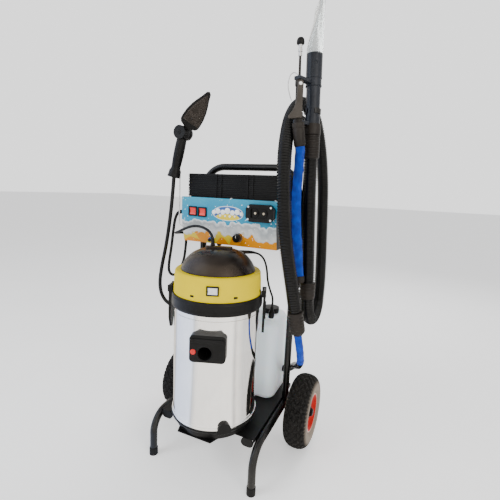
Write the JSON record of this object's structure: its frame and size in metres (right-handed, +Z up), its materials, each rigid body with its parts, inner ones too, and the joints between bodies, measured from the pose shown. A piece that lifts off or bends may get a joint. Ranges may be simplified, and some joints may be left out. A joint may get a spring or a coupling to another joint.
{
  "type": "carpet cleaner machine",
  "caption": "Wheeled carpet extraction and foam machine: tube trolley carrying a steel wet vacuum, solution tank, control box, hung hose and wand, and a hand brush.",
  "frame": {"origin": "on the floor under the middle of the machine's box, measured without its free cords", "axes": "+Z up, -Y towards the front with the drum's hose inlet, +X to the side where the wand and hose hang"},
  "size_m": [0.597, 0.5081, 1.4485],
  "materials": {
    "frame_paint": "semi-gloss black powder coat",
    "deck_paint": "satin black powder coat",
    "rubber": "matte",
    "zinc": "bright zinc",
    "rim_red": "gloss red paint",
    "tyre": "matte, dusty",
    "nylon": "natural nylon",
    "box_paint": "satin grey-black",
    "panel_print": "gloss printed film",
    "black_plastic": "moulded, fine grain",
    "red_plastic": "gloss",
    "white_plastic": "gloss",
    "brass": "machined",
    "motor_grey": "satin",
    "crate_plastic": "ribbed moulding",
    "bristle": "dense bristle pad",
    "stainless": "mirror polished stainless",
    "yellow_plastic": "gloss moulding",
    "dome_black": "gloss moulding",
    "filter_cloth": "felt",
    "tank_plastic": "translucent polyethylene",
    "wand_grey": "satin",
    "clear_plastic": "clear",
    "valve_metal": "plated",
    "trigger_brown": "satin",
    "hose_black": "corrugated",
    "sleeve_blue": "woven nylon",
    "cable_black": "matte",
    "cuff_brown": "satin"
  },
  "bodies": {
    "chassis": {"accessory_crate": "crate_plastic", "air_compressor": "motor_grey", "axle_caps": "zinc", "axle_rod": "zinc", "back_plate": "deck_paint", "box_fittings": "black_plastic", "box_shell": "box_paint", "brush_handle": "black_plastic", "brush_holder": "zinc", "cross_tubes": "frame_paint", "deck": "deck_paint", "filter_basket": "filter_cloth", "foam_hose": "hose_black", "foot_caps": "rubber", "front_panel": "panel_print", "handle_arch": "frame_paint", "head_collar": "yellow_plastic", "head_dome": "dome_black", "hose_cuffs": "cuff_brown", "hose_pole": "frame_paint", "inlet_plate": "black_plastic", "lead_plug": "black_plastic", "outlet_module": "black_plastic", "plug_lead": "cable_black", "pressure_regulator": "brass", "rocker_frames": "black_plastic", "screws": "zinc", "side_lead": "cable_black", "side_rails": "frame_paint", "solution_pump": "motor_grey", "solution_sleeve": "sleeve_blue", "solution_tank": "tank_plastic", "spray_valve": "valve_metal", "supply_hose": "sleeve_blue", "switch_frame": "black_plastic", "vac_band": "black_plastic", "vac_base": "black_plastic", "vac_drum": "stainless", "vac_lead": "cable_black", "vac_motor": "motor_grey", "vacuum_hose": "hose_black", "wand_nozzle": "clear_plastic", "wand_tube": "wand_grey"},
    "wheel_left": {"rim_left": "rim_red", "tyre_left": "tyre", "wheel_bushes_left": "nylon"},
    "wheel_right": {"rim_right": "rim_red", "tyre_right": "tyre", "wheel_bushes_right": "nylon"},
    "latch_left": {"latch_left": "black_plastic"},
    "latch_right": {"latch_right": "black_plastic"},
    "vac_switch": {"switch_rocker": "white_plastic"},
    "pump_switch": {"rocker_pump": "red_plastic"},
    "air_switch": {"rocker_air": "red_plastic"},
    "pressure_knob": {"regulator_knob": "black_plastic"},
    "inlet_button": {"inlet_release": "red_plastic"},
    "tank_cap": {"tank_cap": "black_plastic"},
    "spray_trigger": {"wand_trigger": "trigger_brown"},
    "brush_head": {"brush_head": "black_plastic", "brush_bristles": "bristle"}
  },
  "joints": [
    {"name": "wheel_left_spin", "type": "hinge", "parent": "chassis", "child": "wheel_left", "pos_m": [-0.256, 0.124, 0.13], "axis": [1, 0, 0], "continuous": true},
    {"name": "wheel_right_spin", "type": "hinge", "parent": "chassis", "child": "wheel_right", "pos_m": [0.256, 0.124, 0.13], "axis": [1, 0, 0], "continuous": true},
    {"name": "latch_left_swing", "type": "hinge", "parent": "chassis", "child": "latch_left", "pos_m": [-0.14283, -0.13699, 0.603], "axis": [-0.342, 0.9397, 0], "range_deg": [0, 30]},
    {"name": "latch_right_swing", "type": "hinge", "parent": "chassis", "child": "latch_right", "pos_m": [0.14283, -0.03301, 0.603], "axis": [0.342, -0.9397, 0], "range_deg": [0, 30]},
    {"name": "vac_switch_tilt", "type": "hinge", "parent": "chassis", "child": "vac_switch", "pos_m": [0.05197, -0.20743, 0.632], "axis": [0.9205, 0.3907, 0], "range_deg": [-5, 5]},
    {"name": "pump_switch_tilt", "type": "hinge", "parent": "chassis", "child": "pump_switch", "pos_m": [-0.127, -0.038, 0.842], "axis": [1, 0, 0], "range_deg": [-5, 5]},
    {"name": "air_switch_tilt", "type": "hinge", "parent": "chassis", "child": "air_switch", "pos_m": [-0.09, -0.038, 0.841], "axis": [1, 0, 0], "range_deg": [-5, 5]},
    {"name": "pressure_knob_turn", "type": "hinge", "parent": "chassis", "child": "pressure_knob", "pos_m": [0.04, -0.03328, 0.767], "axis": [0, -0.9754, -0.2205], "range_deg": [0, 270]},
    {"name": "inlet_button_press", "type": "slide", "parent": "chassis", "child": "inlet_button", "axis": [-0.342, 0.9397, 0], "range_m": [0, 0.003], "stiffness_N_per_m": 400},
    {"name": "tank_cap_turn", "type": "hinge", "parent": "chassis", "child": "tank_cap", "pos_m": [0.098, 0.16, 0.479], "axis": [0, 0, 1], "range_deg": [0, 540]},
    {"name": "spray_trigger_pull", "type": "hinge", "parent": "chassis", "child": "spray_trigger", "pos_m": [0.2002, -0.04, 1.2165], "axis": [0, -1, 0], "range_deg": [0, 6], "stiffness_Nm_per_rad": 1.5},
    {"name": "brush_head_swivel", "type": "hinge", "parent": "chassis", "child": "brush_head", "pos_m": [-0.172, -0.041, 1.096], "axis": [0, -1, 0], "range_deg": [-40, 30]}
  ]
}
